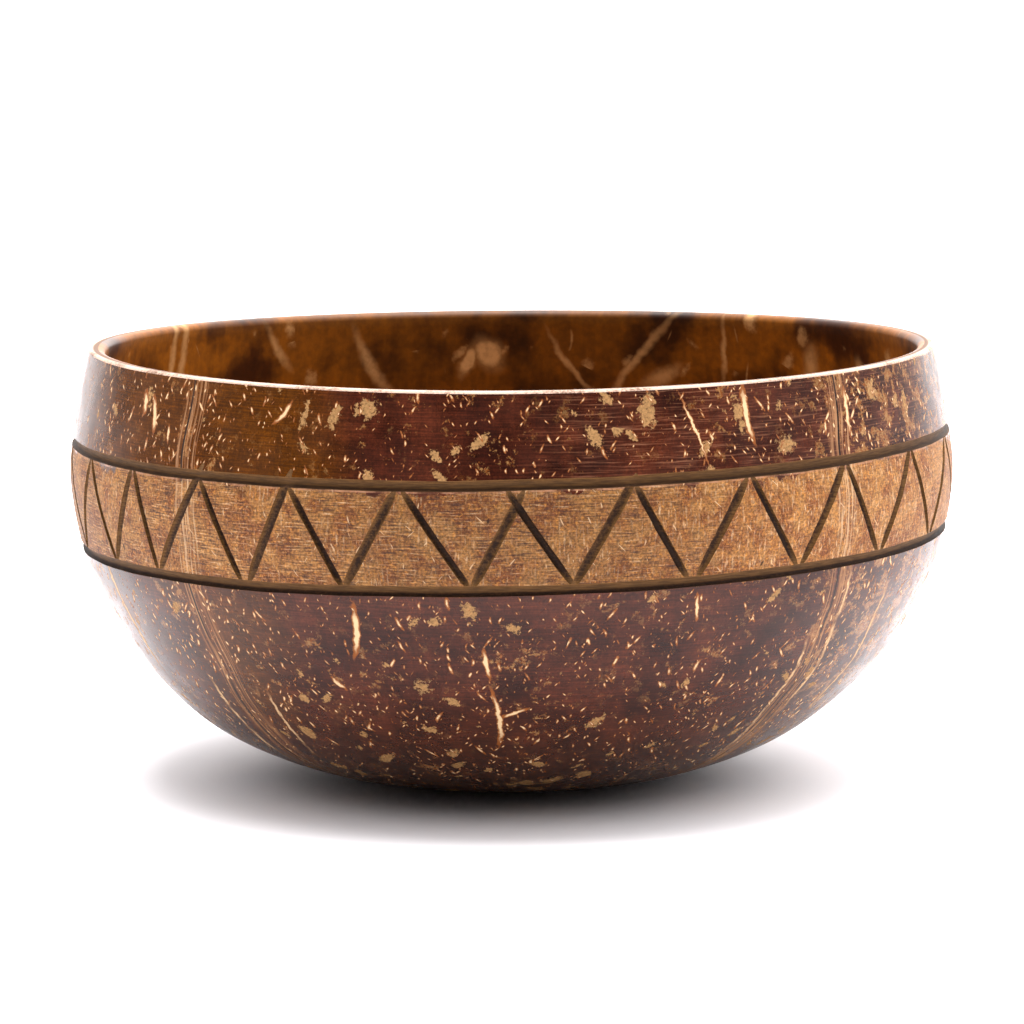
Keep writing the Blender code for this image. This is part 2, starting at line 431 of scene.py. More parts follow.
# The largest torn patches: angle in degrees, height, length and width in mm, lean in degrees.
PATCHES = (
    (-18.0, 62.7, 2.6, 3.6, 0),
    (-22.6, 61.4, 3.4, 1.5, 30),
    (-26.6, 61.6, 4.2, 1.3, 12),
    (-54.0, 61.6, 2.6, 2.2, 0),
    (-5.1, 34.8, 3.2, 2.0, -14),
    (0.2, 32.2, 1.9, 2.1, 0),
    (-9.6, 33.0, 1.4, 1.9, 0),
    (-12.2, 22.8, 2.6, 2.2, 20),
    (-8.2, 20.4, 1.6, 2.4, 20),
    (-12.4, 15.4, 1.6, 3.0, 30),
    (12.8, 16.7, 3.8, 1.6, 40),
    (17.3, 62.4, 5.2, 2.4, 10),
    (12.0, 64.0, 1.6, 1.9, 0),
    (29.9, 61.4, 5.6, 1.6, -8),
    (36.5, 56.6, 2.8, 3.2, -20),
    (54.0, 62.2, 2.8, 2.2, 0),
    (62.0, 60.0, 4.5, 2.0, -6),
)
# Single fibres that follow a meridian: angle in degrees, lowest and highest height, half width in mm.
SEAMS = ((-65.5, 20, 37, 0.6), (-49.5, 6, 20, 0.5), (43.9, 8, 27, 0.45), (48.6, 16, 37, 0.45),
         (58.5, 14, 33, 0.5), (-38.0, 9, 19, 0.4))


def srgb(code):
    """An sRGB hex colour as linear red, green, blue and alpha."""
    shares = [int(code[i:i + 2], 16) / 255 for i in (0, 2, 4)]
    return (*[s / 12.92 if s <= 0.04045 else ((s + 0.055) / 1.055) ** 2.4 for s in shares], 1.0)


# Settings that many nodes share: how values are put together, the size of a value without its sign, a
# soft change from one value to another, one colour laid over another, a colour or place scaled, and how
# far a place lies along a way.
SUM = {"operation": "ADD"}
PRODUCT = {"operation": "MULTIPLY"}
LARGEST = {"operation": "MAXIMUM"}
SIZE_ONLY = {"operation": "ABSOLUTE"}
SOFT = {"interpolation_type": "SMOOTHSTEP"}
COLOURS = {"out": 2, "data_type": "RGBA"}
SCALED = {"operation": "SCALE"}
DOT = {"out": "Value", "operation": "DOT_PRODUCT"}


def add(tree, kind, links, out=0, **settings):
    """Adds a node with its settings and links, and gives back one of its outputs.

    A link is a value, a socket, or a socket with a soft change: (socket, low, high, to_low, to_high), or
    0 to 1 where the last two are left out. A list of links is put together by a row of such nodes.
    """
    if isinstance(links, list):
        joined = links[0]
        for link in links[1:]:
            joined = add(tree, kind, {0: joined, 1: link}, out, **settings)
        return joined
    made = tree.nodes.new("ShaderNode" + kind)
    for name, value in settings.items():
        setattr(made, name, value)
    for place, link in links.items():
        if isinstance(link, tuple) and isinstance(link[0], bpy.types.NodeSocket):
            link = add(tree, "MapRange", dict(enumerate(link)), **SOFT)
        if isinstance(link, bpy.types.NodeSocket):
            tree.links.new(link, made.inputs[place])
        else:
            made.inputs[place].default_value = link
    return made.outputs[out]


def new_material(name):
    material = bpy.data.materials.new(name)
    material.use_nodes = True
    return material, material.node_tree, material.node_tree.nodes["Principled BSDF"]


def shell_places(tree):
    """Where a point is on the shell: its place in mm, the girth and height, and the ways round and up."""
    object_place = add(tree, "TexCoord", {}, "Object")
    place = add(tree, "VectorMath", {0: object_place, "Scale": 1 / MM}, **SCALED)
    x, y, z = add(tree, "SeparateXYZ", {0: place}).node.outputs
    back = add(tree, "Math", {0: y, 1: -1.0}, **PRODUCT)
    angle = add(tree, "Math", {0: x, 1: back}, operation="ARCTAN2")
    around = add(tree, "VectorMath", {0: add(tree, "CombineXYZ", {0: back, 1: x})}, operation="NORMALIZE")
    middle = add(tree, "VectorMath", {0: place, 1: (0, 0, BELLY_HEIGHT / MM)}, operation="SUBTRACT")
    out = add(tree, "VectorMath", {0: middle}, operation="NORMALIZE")
    up = add(tree, "VectorMath", {0: out, 1: around}, operation="CROSS_PRODUCT")
    girth = add(tree, "Math", {0: angle, 1: BELLY_RADIUS / MM}, **PRODUCT)
    return {"place": place, "x": x, "z": z, "around": around, "up": up, "girth": girth}


def grain(tree, at, size, seed, detail=2.0, roughness=0.5):
    """Soft random variation, 0 to 1, with features of about this size in mm."""
    moved = add(tree, "VectorMath", {0: at["place"], 1: (seed, seed * 1.7, seed * 0.3)}, **SUM)
    return add(tree, "TexNoise", {"Vector": moved, "Scale": 1 / size, "Detail": detail,
                                  "Roughness": roughness})


def drawn(tree, at, round_length, up_length, seed, detail=2.0):
    """Random lines, 0 to 1, whose features have these sizes in mm round the shell and up it."""
    run = add(tree, "Math", {0: at["girth"], 1: round_length}, operation="DIVIDE")
    step = add(tree, "Math", {0: at["z"], 1: up_length}, operation="DIVIDE")
    return add(tree, "TexNoise", {"Vector": add(tree, "CombineXYZ", {0: run, 1: step, 2: seed}),
                                  "Scale": 1.0, "Detail": detail, "Roughness": 0.6})


def frayed_place(tree, at, scale, reach):
    """The place moved about at random by up to half the reach in mm, so that edges come out ragged."""
    wobble = add(tree, "TexNoise", {"Vector": at["place"], "Scale": scale, "Detail": 3.0, "Roughness": 0.6},
                 "Color")
    wobble = add(tree, "VectorMath", {0: wobble, 1: (0.5, 0.5, 0.5)}, operation="SUBTRACT")
    wobble = add(tree, "VectorMath", {0: wobble, "Scale": reach}, **SCALED)
    return add(tree, "VectorMath", {0: at["place"], 1: wobble}, **SUM)


def flecks(tree, at, spacing, width, length, share, seed, sway=0.5, fray=0.35):
    """Fibre ends, at most one in each random cell: how deep in one a point is, up to 1 in the largest."""
    cells = add(tree, "VectorMath", {0: at["place"], "Scale": 1 / spacing}, **SCALED)
    cells = add(tree, "VectorMath", {0: cells, 1: (seed, seed * 1.3, seed * 0.7)}, **SUM)
    cell = add(tree, "TexVoronoi", {"Vector": cells, "Scale": 1.0, "Randomness": 0.9}).node.outputs
    offset = add(tree, "VectorMath", {0: cells, 1: cell["Position"]}, operation="SUBTRACT")
    lean, luck, curl = add(tree, "SeparateColor", {0: cell["Color"]}).node.outputs
    along = add(tree, "VectorMath", {0: offset, 1: at["up"]}, **DOT)
    across = add(tree, "VectorMath", {0: offset, 1: at["around"]}, **DOT)
    slant = add(tree, "MapRange", {0: lean, 3: -sway, 4: sway})
    curve = add(tree, "MapRange", {0: curl, 3: -0.9, 4: 0.9})
    slant = add(tree, "Math", {0: along, 1: curve, 2: slant}, operation="MULTIPLY_ADD")
    across = add(tree, "Math", {0: along, 1: slant, 2: across}, operation="MULTIPLY_ADD")
    reach = add(tree, "CombineXYZ", {0: add(tree, "Math", [across, 2 * spacing / width], **PRODUCT),
                                     1: add(tree, "Math", [along, 2 * spacing / length], **PRODUCT)})
    reach = add(tree, "VectorMath", {0: reach}, "Value", operation="LENGTH")
    rough_edge = add(tree, "MapRange", {0: at["fray"], 3: -fray, 4: fray})
    size = add(tree, "MapRange", {0: luck, 1: 1 - share, 3: -fray, 4: 1.0})
    size = add(tree, "Math", [size, rough_edge], **SUM)
    return add(tree, "Math", {0: size, 1: reach}, operation="SUBTRACT")


def strand(tree, at, angle, height, length, width, lean=0.0, bend=0.0):
    """One long fibre bundle: depth in it, 1 on its middle line. Degrees, mm; lean is to the right, up."""
    turn = math.radians(angle)
    middle = on_side(turn, height * MM, 0) / MM
    up = (on_side(turn, (height + 1) * MM, 0) / MM - middle).normalized()
    around = Vector((math.cos(turn), math.sin(turn), 0))
    tilt = math.radians(lean)
    run = (around * math.sin(tilt) + up * math.cos(tilt)) * 2 / length
    side = (around * math.cos(tilt) - up * math.sin(tilt)) * 2 / width
    offset = add(tree, "VectorMath", {0: at["frayed"], 1: middle}, operation="SUBTRACT")
    along = add(tree, "VectorMath", {0: offset, 1: run}, **DOT)
    across = add(tree, "VectorMath", {0: offset, 1: side}, **DOT)
    if bend:
        bowed = add(tree, "Math", [along, along, 2 * bend / width], **PRODUCT)
        across = add(tree, "Math", [across, bowed], **SUM)
    reach = add(tree, "VectorMath", {0: add(tree, "CombineXYZ", {0: across, 1: along})}, "Value",
                operation="LENGTH")
    return add(tree, "Math", {0: 1.0, 1: reach}, operation="SUBTRACT")


def suture_place(tree, place, angle, wander):
    """How far round a point lies from a growth seam, in mm, and whether it is on the seam's side."""
    turn = math.radians(angle)
    way_round, way_out = (math.cos(turn), math.sin(turn), 0), (math.sin(turn), -math.cos(turn), 0)
    across = add(tree, "VectorMath", {0: place, 1: way_round}, **DOT)
    outward = add(tree, "VectorMath", {0: place, 1: way_out}, **DOT)
    drift = add(tree, "MapRange", {0: wander, 3: -2.2, 4: 2.2})
    across = add(tree, "Math", [across, drift], **SUM)
    return across, add(tree, "Math", {0: outward, 1: 0.0}, operation="GREATER_THAN")


def finish(tree, surface, colour, roughness, shine, relief, strength, height):
    """Gives a shell surface its colour, roughness, level of shine, and fine relief, its height in mm."""
    tree.links.new(colour, surface.inputs["Base Color"])
    if isinstance(roughness, bpy.types.NodeSocket):
        tree.links.new(roughness, surface.inputs["Roughness"])
    else:
        surface.inputs["Roughness"].default_value = roughness
    surface.inputs["IOR"].default_value = OIL_IOR
    surface.inputs["Specular IOR Level"].default_value = shine
    bumps = add(tree, "Bump", {"Strength": strength, "Distance": height * MM, "Height": relief})
    tree.links.new(bumps, surface.inputs["Normal"])


skin, tree, surface = new_material("coconut_shell_sanded_and_oiled")
at = shell_places(tree)
at["fray"] = grain(tree, at, 0.35, 5.0, 3.0, 0.6)
at["frayed"] = frayed_place(tree, at, 0.7, 1.1)
over_upper = add(tree, "Attribute", {}, "Fac", attribute_name="above_upper")
over_lower = add(tree, "Attribute", {}, "Fac", attribute_name="above_lower")

# The skin's colour goes from olive-brown on one side to a dark purple-red brown on the other, with
# cloudy patches of both, and fine marks left by sanding round the shell. The marks are drawn 0.26 mm
# apart, coarser than the real ones, so that they show.
cloud = grain(tree, at, 24, 2.0)
mottle = grain(tree, at, 3.0, 8.0, 6.0, 0.7)
sanding = drawn(tree, at, 7.0, 0.26, 3.0, 3.0)
fibre = drawn(tree, at, 0.5, 6.0, 4.0)
left, high = (at["x"], 5, -50, 0.0, 0.62), (at["z"], 36, 56, 0.35, 1.0)
side = add(tree, "Math", {0: add(tree, "Math", [left, high], **PRODUCT), 1: 0.25}, operation="SUBTRACT")
olive = add(tree, "Math", [cloud, side], **SUM)
olive = add(tree, "MapRange", {0: olive, 1: 0.38, 2: 0.78}, **SOFT)
red = add(tree, "MapRange", {0: grain(tree, at, 8, 9.0, 4.0), 1: 0.3, 2: 0.7}, **SOFT)
colour = add(tree, "Mix", {0: red, 6: srgb(SKIN_DARK), 7: srgb(SKIN_RED)}, **COLOURS)
colour = add(tree, "Mix", {0: olive, 6: colour, 7: srgb(SKIN_OLIVE)}, **COLOURS)
colour = add(tree, "VectorMath", {0: colour, "Scale": (mottle, 0.28, 0.72, 0.72, 1.35)}, **SCALED)
colour = add(tree, "VectorMath", {0: colour, "Scale": (at["fray"], 0.3, 0.7, 0.80, 1.25)}, **SCALED)
colour = add(tree, "VectorMath", {0: colour, "Scale": (sanding, 0.35, 0.75, 0.80, 1.60)}, **SCALED)
colour = add(tree, "VectorMath", {0: colour, "Scale": (fibre, 0.3, 0.75, 0.92, 1.12)}, **SCALED)

# On the right, above the band, the crests of those marks are drawn pale: partly sanding wear,
# partly a painted sheen of the overhead light on the satin skin.
right, high = (at["x"], -2, 14), (at["z"], 40, 55)
burnish_and_sheen = add(tree, "Math", [(sanding, 0.50, 0.72), right, high, 0.28], **PRODUCT)
colour = add(tree, "Mix", {0: burnish_and_sheen, 6: colour, 7: srgb(BURNISH_AND_SHEEN)}, **COLOURS)

# Towards the seat the skin is mixed to a warmer, darker brown.
low_share = add(tree, "MapRange", {0: at["z"], 1: 22, 2: 4}, **SOFT)
warm = add(tree, "VectorMath", {0: srgb(SKIN_WARM)[:3], "Scale": (mottle, 0.28, 0.72, 0.5, 1.5)}, **SCALED)
warm_share = add(tree, "Math", [low_share, 0.9], **PRODUCT)
colour = add(tree, "Mix", {0: warm_share, 6: colour, 7: warm}, **COLOURS)

# Fibre ends from dust-fine to a few millimetres long, then the torn patches and the long strands. The
# finest are drawn up to 0.38 mm wide, a little coarser than the real pores, so that they show.
crowd = add(tree, "MapRange", {0: grain(tree, at, 13, 21.0), 1: 0.35, 2: 0.7, 3: -0.10, 4: 0.15}, **SOFT)
crowd = add(tree, "Math", [crowd, (at["z"], 26, 6, 0.0, 0.14)], **SUM)
crowd = add(tree, "Math", [crowd, (at["x"], 30, 50, 0.0, 0.22)], **SUM)
crowd = add(tree, "Math", [crowd, (at["x"], -26, -44, 0.0, 0.16)], **SUM)
scuff = grain(tree, at, 2.6, 22.0, 6.0, 0.75)
scuff = add(tree, "Math", [scuff, (at["x"], 34, 52, 0.0, 0.06)], **SUM)
scuffed = add(tree, "MapRange", {0: grain(tree, at, 15, 23.0), 1: 0.42, 2: 0.62, 3: 0.15, 4: 1.0}, **SOFT)
scuffed = add(tree, "Math", [scuffed, (at["x"], 34, 50)], **LARGEST)
scuff = add(tree, "Math", [(scuff, 0.565, 0.62), scuffed], **PRODUCT)
dust = flecks(tree, at, 1.3, 0.38, 0.80, 0.75, 1.0, sway=0.9)
short = flecks(tree, at, 2.0, 0.52, 1.4, 0.72, 2.0, sway=0.8, fray=0.45)
middling = flecks(tree, at, 3.6, 0.70, 2.6, 0.58, 3.0, sway=0.8, fray=0.45)
torn = flecks(tree, at, 4.6, 2.2, 3.0, 0.50, 4.0, sway=0.9, fray=0.9)
strands = [
    strand(tree, at, -52.0, 59.5, 6.5, 1.3, -14, 0.5),
    strand(tree, at, -54.5, 61.0, 4.2, 1.6, -8),
    strand(tree, at, -48.6, 57.2, 3.4, 0.7, -6),
    strand(tree, at, -29.5, 61.5, 5.2, 0.9, 38, 0.6),
    strand(tree, at, -20.0, 31.0, 11.0, 1.3, 8, 0.5),
    strand(tree, at, -3.2, 26.5, 6.5, 0.8, -8),
    strand(tree, at, -1.6, 17.5, 15.0, 1.0, -4, 0.9),
    strand(tree, at, 0.6, 18.6, 5.0, 0.9, 62),
    strand(tree, at, 31.0, 61.0, 10.5, 1.3, -7, -0.5),
    strand(tree, at, 23.5, 59.5, 12.5, 0.5, -20),
    strand(tree, at, 48.0, 60.0, 9.0, 1.0, -2),
    strand(tree, at, 24.0, 34.5, 5.0, 0.8, -8),
    strand(tree, at, -24.5, 22.5, 3.5, 0.9, -40),
]
strands = add(tree, "Math", strands, **LARGEST)
wander = add(tree, "TexNoise", {"Vector": add(tree, "CombineXYZ", {0: 3.0, 2: at["z"]}), "Scale": 1 / 16,
                                "Detail": 1.0})
bundles, cracks = [], []
for number, angle in enumerate(SUTURES):
    across, same_side = suture_place(tree, at["place"], angle, wander)
    spread = add(tree, "Math", {0: across}, **SIZE_ONLY)
    spread = add(tree, "MapRange", {0: spread, 1: 3.0, 2: 1.4}, **SOFT)
    run = add(tree, "Math", [across, 1 / LINE_SPACING], **PRODUCT)
    step = add(tree, "Math", [at["z"], 1 / LINE_LENGTH], **PRODUCT)
    spot = add(tree, "CombineXYZ", {0: run, 1: step, 2: number * 9.0})
    lines = add(tree, "TexNoise", {"Vector": spot, "Scale": 1.0, "Detail": 3.0})
    bundles.append(add(tree, "Math", [spread, same_side, (lines, 0.42, 0.62)], **PRODUCT))
    crack = add(tree, "Math", {0: across, 1: 0.4 * number - 0.8, 2: 0.18}, operation="COMPARE")
    cracks.append(add(tree, "Math", [crack, same_side, (wander, 0.35, 0.5)], **PRODUCT))
bundle, crack = add(tree, "Math", bundles, **LARGEST), add(tree, "Math", cracks, **LARGEST)
seams = []
for angle, low, high, width in SEAMS:
    across, same_side = suture_place(tree, at["frayed"], angle, wander)
    thin = add(tree, "Math", {0: across}, **SIZE_ONLY)
    thin = add(tree, "MapRange", {0: thin, 1: width, 2: 0.3 * width}, **SOFT)
    above_start, below_end = (at["z"], low - 3, low + 3), (at["z"], high + 2, high - 2)
    seams.append(add(tree, "Math", [thin, same_side, above_start, below_end], **PRODUCT))
seam = add(tree, "Math", seams, **LARGEST)
seam = add(tree, "Math", [seam, (mottle, 0.25, 0.55, 0.2, 1.0)], **PRODUCT)
dust = add(tree, "Math", [dust, crowd], **SUM)
short = add(tree, "Math", [short, crowd], **SUM)
depth = add(tree, "Math", [dust, short, middling, add(tree, "Math", [strands, 1.3], **PRODUCT)], **LARGEST)
patches = [strand(tree, at, *patch) for patch in PATCHES]
patch = add(tree, "Math", patches, **LARGEST)
uneven = grain(tree, at, 0.9, 24.0, 4.0, 0.7)
patch = add(tree, "Math", [patch, (uneven, 0.25, 0.75, -0.75, 0.75)], **SUM)
torn = add(tree, "Math", [torn, add(tree, "Math", [low_share, 0.35], **PRODUCT)], **SUM)
torn = add(tree, "Math", [torn, patch], **LARGEST)
torn = add(tree, "Math", [(torn, 0.0, 0.30), (at["fray"], 0.22, 0.42)], **PRODUCT)
bundle = add(tree, "Math", [bundle, (fibre, 0.3, 0.6, 0.55, 0.95)], **PRODUCT)
pale_bundle = add(tree, "Math", [bundle, 0.32], **PRODUCT)
pale_seam = add(tree, "Math", [seam, 0.7], **PRODUCT)
bright = add(tree, "Math", [(depth, 0.30, 0.80), pale_bundle, pale_seam], **LARGEST)
seen = add(tree, "Math", [(depth, 0.0, 0.25), bundle, seam], **LARGEST)
fleck_colour = add(tree, "Mix", {0: bright, 6: srgb(FLECK_RUST), 7: srgb(FLECK_CREAM)}, **COLOURS)
torn_tone, scuff_tone = (at["fray"], 0.3, 0.7, 0.7, 1.25), (at["fray"], 0.4, 0.6)
torn_colour = add(tree, "VectorMath", {0: srgb(TORN_TAN)[:3], "Scale": torn_tone}, **SCALED)
scuff_colour = add(tree, "Mix", {0: scuff_tone, 6: srgb(FLECK_RUST), 7: srgb(TORN_TAN)}, **COLOURS)
for share, strength, paint in ((scuff, 0.75, scuff_colour), (torn, 0.85, torn_colour)):
    share = add(tree, "Math", [share, strength], **PRODUCT)
    colour = add(tree, "Mix", {0: share, 6: colour, 7: paint}, **COLOURS)
colour = add(tree, "Mix", {0: seen, 6: colour, 7: fleck_colour}, **COLOURS)
seen = add(tree, "Math", [seen, torn], **LARGEST)
crack = add(tree, "Math", [crack, 0.95], **PRODUCT)
colour = add(tree, "Mix", {0: crack, 6: colour, 7: srgb(CRACK_DARK)}, **COLOURS)

# The scraped band, with remnants of skin along its upper edge, fibres up it and scrape marks round it.
ragged = add(tree, "MapRange", {0: at["fray"], 1: 0.2, 2: 0.8, 3: -0.5, 4: 0.5}, **SOFT)
remnants = add(tree, "MapRange", {0: grain(tree, at, 5, 31.0), 1: 0.45, 2: 0.8, 3: 0.0, 4: 1.9}, **SOFT)
ragged = add(tree, "Math", [ragged, remnants], **SUM)
under = add(tree, "Math", [over_upper, ragged], **SUM)
band = add(tree, "Math", [(under, -0.3, -0.7), (over_lower, 0.2, 0.5)], **PRODUCT)
scrapes = drawn(tree, at, 3.2, 0.24, 11.0, 4.0)
stringy = drawn(tree, at, 0.34, 2.2, 12.0, 4.0)
blotch = grain(tree, at, 3.6, 13.0, 5.0, 0.65)
fine = grain(tree, at, 0.42, 14.0, 3.0, 0.7)
patchy = add(tree, "MapRange", {0: grain(tree, at, 9, 17.0), 1: 0.35, 2: 0.62}, **SOFT)
patchy = add(tree, "Math", [patchy, (at["x"], 36, 22, 0.25, 1.0)], **PRODUCT)
bare = add(tree, "Mix", {0: (blotch, 0.35, 0.65), 6: srgb(SCRAPED_RUST), 7: srgb(SCRAPED_TAN)}, **COLOURS)
bare = add(tree, "Mix", {0: (fine, 0.50, 0.66, 0.0, 0.75), 6: bare, 7: srgb(SCRAPED_GOLD)}, **COLOURS)
worn = add(tree, "Math", [(scrapes, 0.52, 0.36), (patchy, 0.0, 1.0, 0.30, 0.85)], **PRODUCT)
bare = add(tree, "Mix", {0: worn, 6: bare, 7: srgb(SCRAPED_DARK)}, **COLOURS)
combed = add(tree, "Math", [(scrapes, 0.55, 0.70), (patchy, 0.0, 1.0, 0.2, 0.7)], **PRODUCT)
strings = add(tree, "Math", [(stringy, 0.52, 0.72), (patchy, 0.0, 1.0, 0.75, 0.15)], **PRODUCT)
raised = add(tree, "Math", [combed, strings], **LARGEST)
bare = add(tree, "Mix", {0: raised, 6: bare, 7: srgb(SCRAPED_PALE)}, **COLOURS)
bare = add(tree, "VectorMath", {0: bare, "Scale": (at["fray"], 0.32, 0.68, 0.55, 1.35)}, **SCALED)
# Painted light: the band is drawn darker in the middle and lighter towards both sides, most on the right,
# as the side lights fall on it.
right, left = (at["x"], 10, 46, 0.80, 1.16), (at["x"], -10, -42, 0.0, 0.25)
bare = add(tree, "VectorMath", {0: bare, "Scale": add(tree, "Math", [right, left], **SUM)}, **SCALED)
splinters = flecks(tree, at, 2.0, 0.30, 1.5, 0.60, 15.0, sway=1.2)
splinters = add(tree, "Math", [splinters, add(tree, "Math", [bundle, 0.5], **PRODUCT)], **LARGEST)
bare = add(tree, "Mix", {0: (splinters, 0.0, 0.6, 0.0, 0.8), 6: bare, 7: srgb(SCRAPED_PALE)}, **COLOURS)
pits = flecks(tree, at, 5.0, 0.7, 1.3, 0.22, 16.0)
bare = add(tree, "Mix", {0: (pits, 0.1, 0.4, 0.0, 0.8), 6: bare, 7: srgb(CRACK_DARK)}, **COLOURS)
colour = add(tree, "Mix", {0: band, 6: colour, 7: bare}, **COLOURS)
# A pale line just under the upper ring: partly shell burnished by the tool, partly a painted highlight
# where the groove's rounded shoulder catches the light.
burnish_and_sheen = add(tree, "Math", {0: over_upper, 1: -0.86, 2: 0.14}, operation="COMPARE")
burnish_and_sheen = add(tree, "Math", [burnish_and_sheen, (mottle, 0.40, 0.65, 0.1, 0.8)], **PRODUCT)
colour = add(tree, "Mix", {0: burnish_and_sheen, 6: colour, 7: srgb(BURNISH_AND_SHEEN)}, **COLOURS)

# Satin where the oil lies on the skin, and matt in the flecks and on the scraped band.
gloss = add(tree, "MapRange", {0: grain(tree, at, 7, 41.0, 3.0), 1: 0.3, 2: 0.7, 3: 0.24, 4: 0.32}, **SOFT)
gloss = add(tree, "Mix", {0: add(tree, "Math", [seen, band], **LARGEST), 2: gloss, 3: 0.62})
relief = add(tree, "Mix", {0: band, 2: add(tree, "Math", [sanding, 0.10], **PRODUCT), 3: scrapes})
relief = add(tree, "Math", {0: seen, 1: 0.12, 2: relief}, operation="MULTIPLY_ADD")
finish(tree, surface, colour, gloss, shine=0.21, relief=relief, strength=0.55, height=0.10)
carved.materials.append(skin)

# ---------------------------------------------------------------------------------------------------
# The lip: the shell's own cut edge, sanded round and left unstained. It shows the bare shell, a pale
# pinkish tan, matt, with darker specks where fibres were cut across.
# ---------------------------------------------------------------------------------------------------
LIP_PALE = "BFA290"
LIP_TAN = "5F422F"
lip, tree, surface = new_material("coconut_shell_sanded_edge")
at = shell_places(tree)
specks = grain(tree, at, 0.45, 51.0, 3.0, 0.65)
stretch = grain(tree, at, 9, 52.0)
flat_place = add(tree, "VectorMath", {0: at["place"], 1: (1, 1, 0)}, **PRODUCT)
radius = add(tree, "VectorMath", {0: flat_place}, "Value", operation="LENGTH")
share = add(tree, "Math", [specks, stretch], **SUM)
inner_part = add(tree, "MapRange", {0: radius, 1: RIM_RADIUS / MM - 0.6, 2: RIM_RADIUS / MM - 1.0}, **SOFT)
share = add(tree, "Math", [(share, 0.92, 1.32, 0.05, 0.9), inner_part], **LARGEST)
colour = add(tree, "Mix", {0: share, 6: srgb(LIP_PALE), 7: srgb(LIP_TAN)}, **COLOURS)
finish(tree, surface, colour, 0.7, shine=0.2, relief=specks, strength=0.4, height=0.05)
carved.materials.append(lip)

# ---------------------------------------------------------------------------------------------------
# The inside: the shell's smooth inner face, scraped clean and oiled. It is a clear golden brown with
# darker clouds, a few soft pale blotches and vein marks, and a low gloss.
# ---------------------------------------------------------------------------------------------------
INSIDE_GOLD = "724002"
INSIDE_DARK = "2F1200"
INSIDE_PALE = "CF9E66"
inside, tree, surface = new_material("coconut_shell_inner_face_oiled")
at = shell_places(tree)
at["fray"] = grain(tree, at, 1.2, 61.0, 3.0, 0.6)
at["frayed"] = frayed_place(tree, at, 0.18, 2.6)
cloud = grain(tree, at, 12, 62.0, 4.0, 0.55)
streak = drawn(tree, at, 2.4, 14.0, 63.0, 3.0)
colour = add(tree, "Mix", {0: (cloud, 0.34, 0.60), 6: srgb(INSIDE_DARK), 7: srgb(INSIDE_GOLD)}, **COLOURS)
colour = add(tree, "VectorMath", {0: colour, "Scale": (streak, 0.3, 0.7, 0.85, 1.15)}, **SCALED)
colour = add(tree, "VectorMath", {0: colour, "Scale": (at["fray"], 0.3, 0.7, 0.85, 1.2)}, **SCALED)
colour = add(tree, "VectorMath", {0: colour, "Scale": (at["z"], 61.5, 64.5, 1.0, 0.8)}, **SCALED)
# Painted light: the inside is drawn up to 1.6 times lighter towards both sides, where the side lights fall
# on the inner wall.
aside = add(tree, "Math", {0: at["x"]}, **SIZE_ONLY)
colour = add(tree, "VectorMath", {0: colour, "Scale": (aside, 16, 56, 1.0, 1.6)}, **SCALED)
veins = [
    strand(tree, at, -176.6, 58.6, 6.6, 5.0, 30),
    strand(tree, at, -173.6, 57.4, 2.6, 6.0, 70),
    strand(tree, at, -158.5, 57.0, 14.0, 2.2, 32, 1.0),
    strand(tree, at, 161.0, 58.0, 22.0, 1.6, -40, 0.8),
    strand(tree, at, 157.0, 55.0, 8.0, 3.2, -60),
    strand(tree, at, 171.0, 56.0, 14.0, 1.2, 38, 1.0),
    strand(tree, at, 130.0, 59.0, 7.0, 4.0, -10),
    strand(tree, at, 146.5, 60.0, 12.0, 1.1, -4),
    strand(tree, at, -123.2, 58.0, 30.0, 1.9, -4),
    strand(tree, at, -120.6, 58.0, 30.0, 1.7, -4),
    strand(tree, at, -143.0, 61.0, 9.0, 1.6, 40),
    strand(tree, at, 118.0, 58.0, 6.0, 3.0, 20),
]
spots = flecks(tree, at, 7.5, 3.2, 4.4, 0.60, 64.0, sway=0.7, fray=0.5)
thin = flecks(tree, at, 7.0, 0.8, 5.5, 0.35, 65.0, sway=0.6, fray=0.3)
main_blotch, vein = add(tree, "Math", veins[:2], **LARGEST), add(tree, "Math", veins, **LARGEST)
main_blotch, vein = (main_blotch, 0.0, 0.5), (vein, -0.35, 0.9, 0.0, 0.7)
spots, thin = (spots, -0.1, 0.7, 0.0, 0.6), (thin, -0.2, 0.7, 0.0, 0.5)
pale = add(tree, "Math", [vein, main_blotch, spots, thin], **LARGEST)
pale = add(tree, "Math", [pale, (at["fray"], 0.2, 0.6, 0.65, 1.0)], **PRODUCT)
colour = add(tree, "Mix", {0: pale, 6: colour, 7: srgb(INSIDE_PALE)}, **COLOURS)
gloss = add(tree, "MapRange", {0: cloud, 1: 0.3, 2: 0.7, 3: 0.45, 4: 0.55}, **SOFT)
finish(tree, surface, colour, gloss, shine=0.3, relief=streak, strength=0.3, height=0.10)
carved.materials.append(inside)

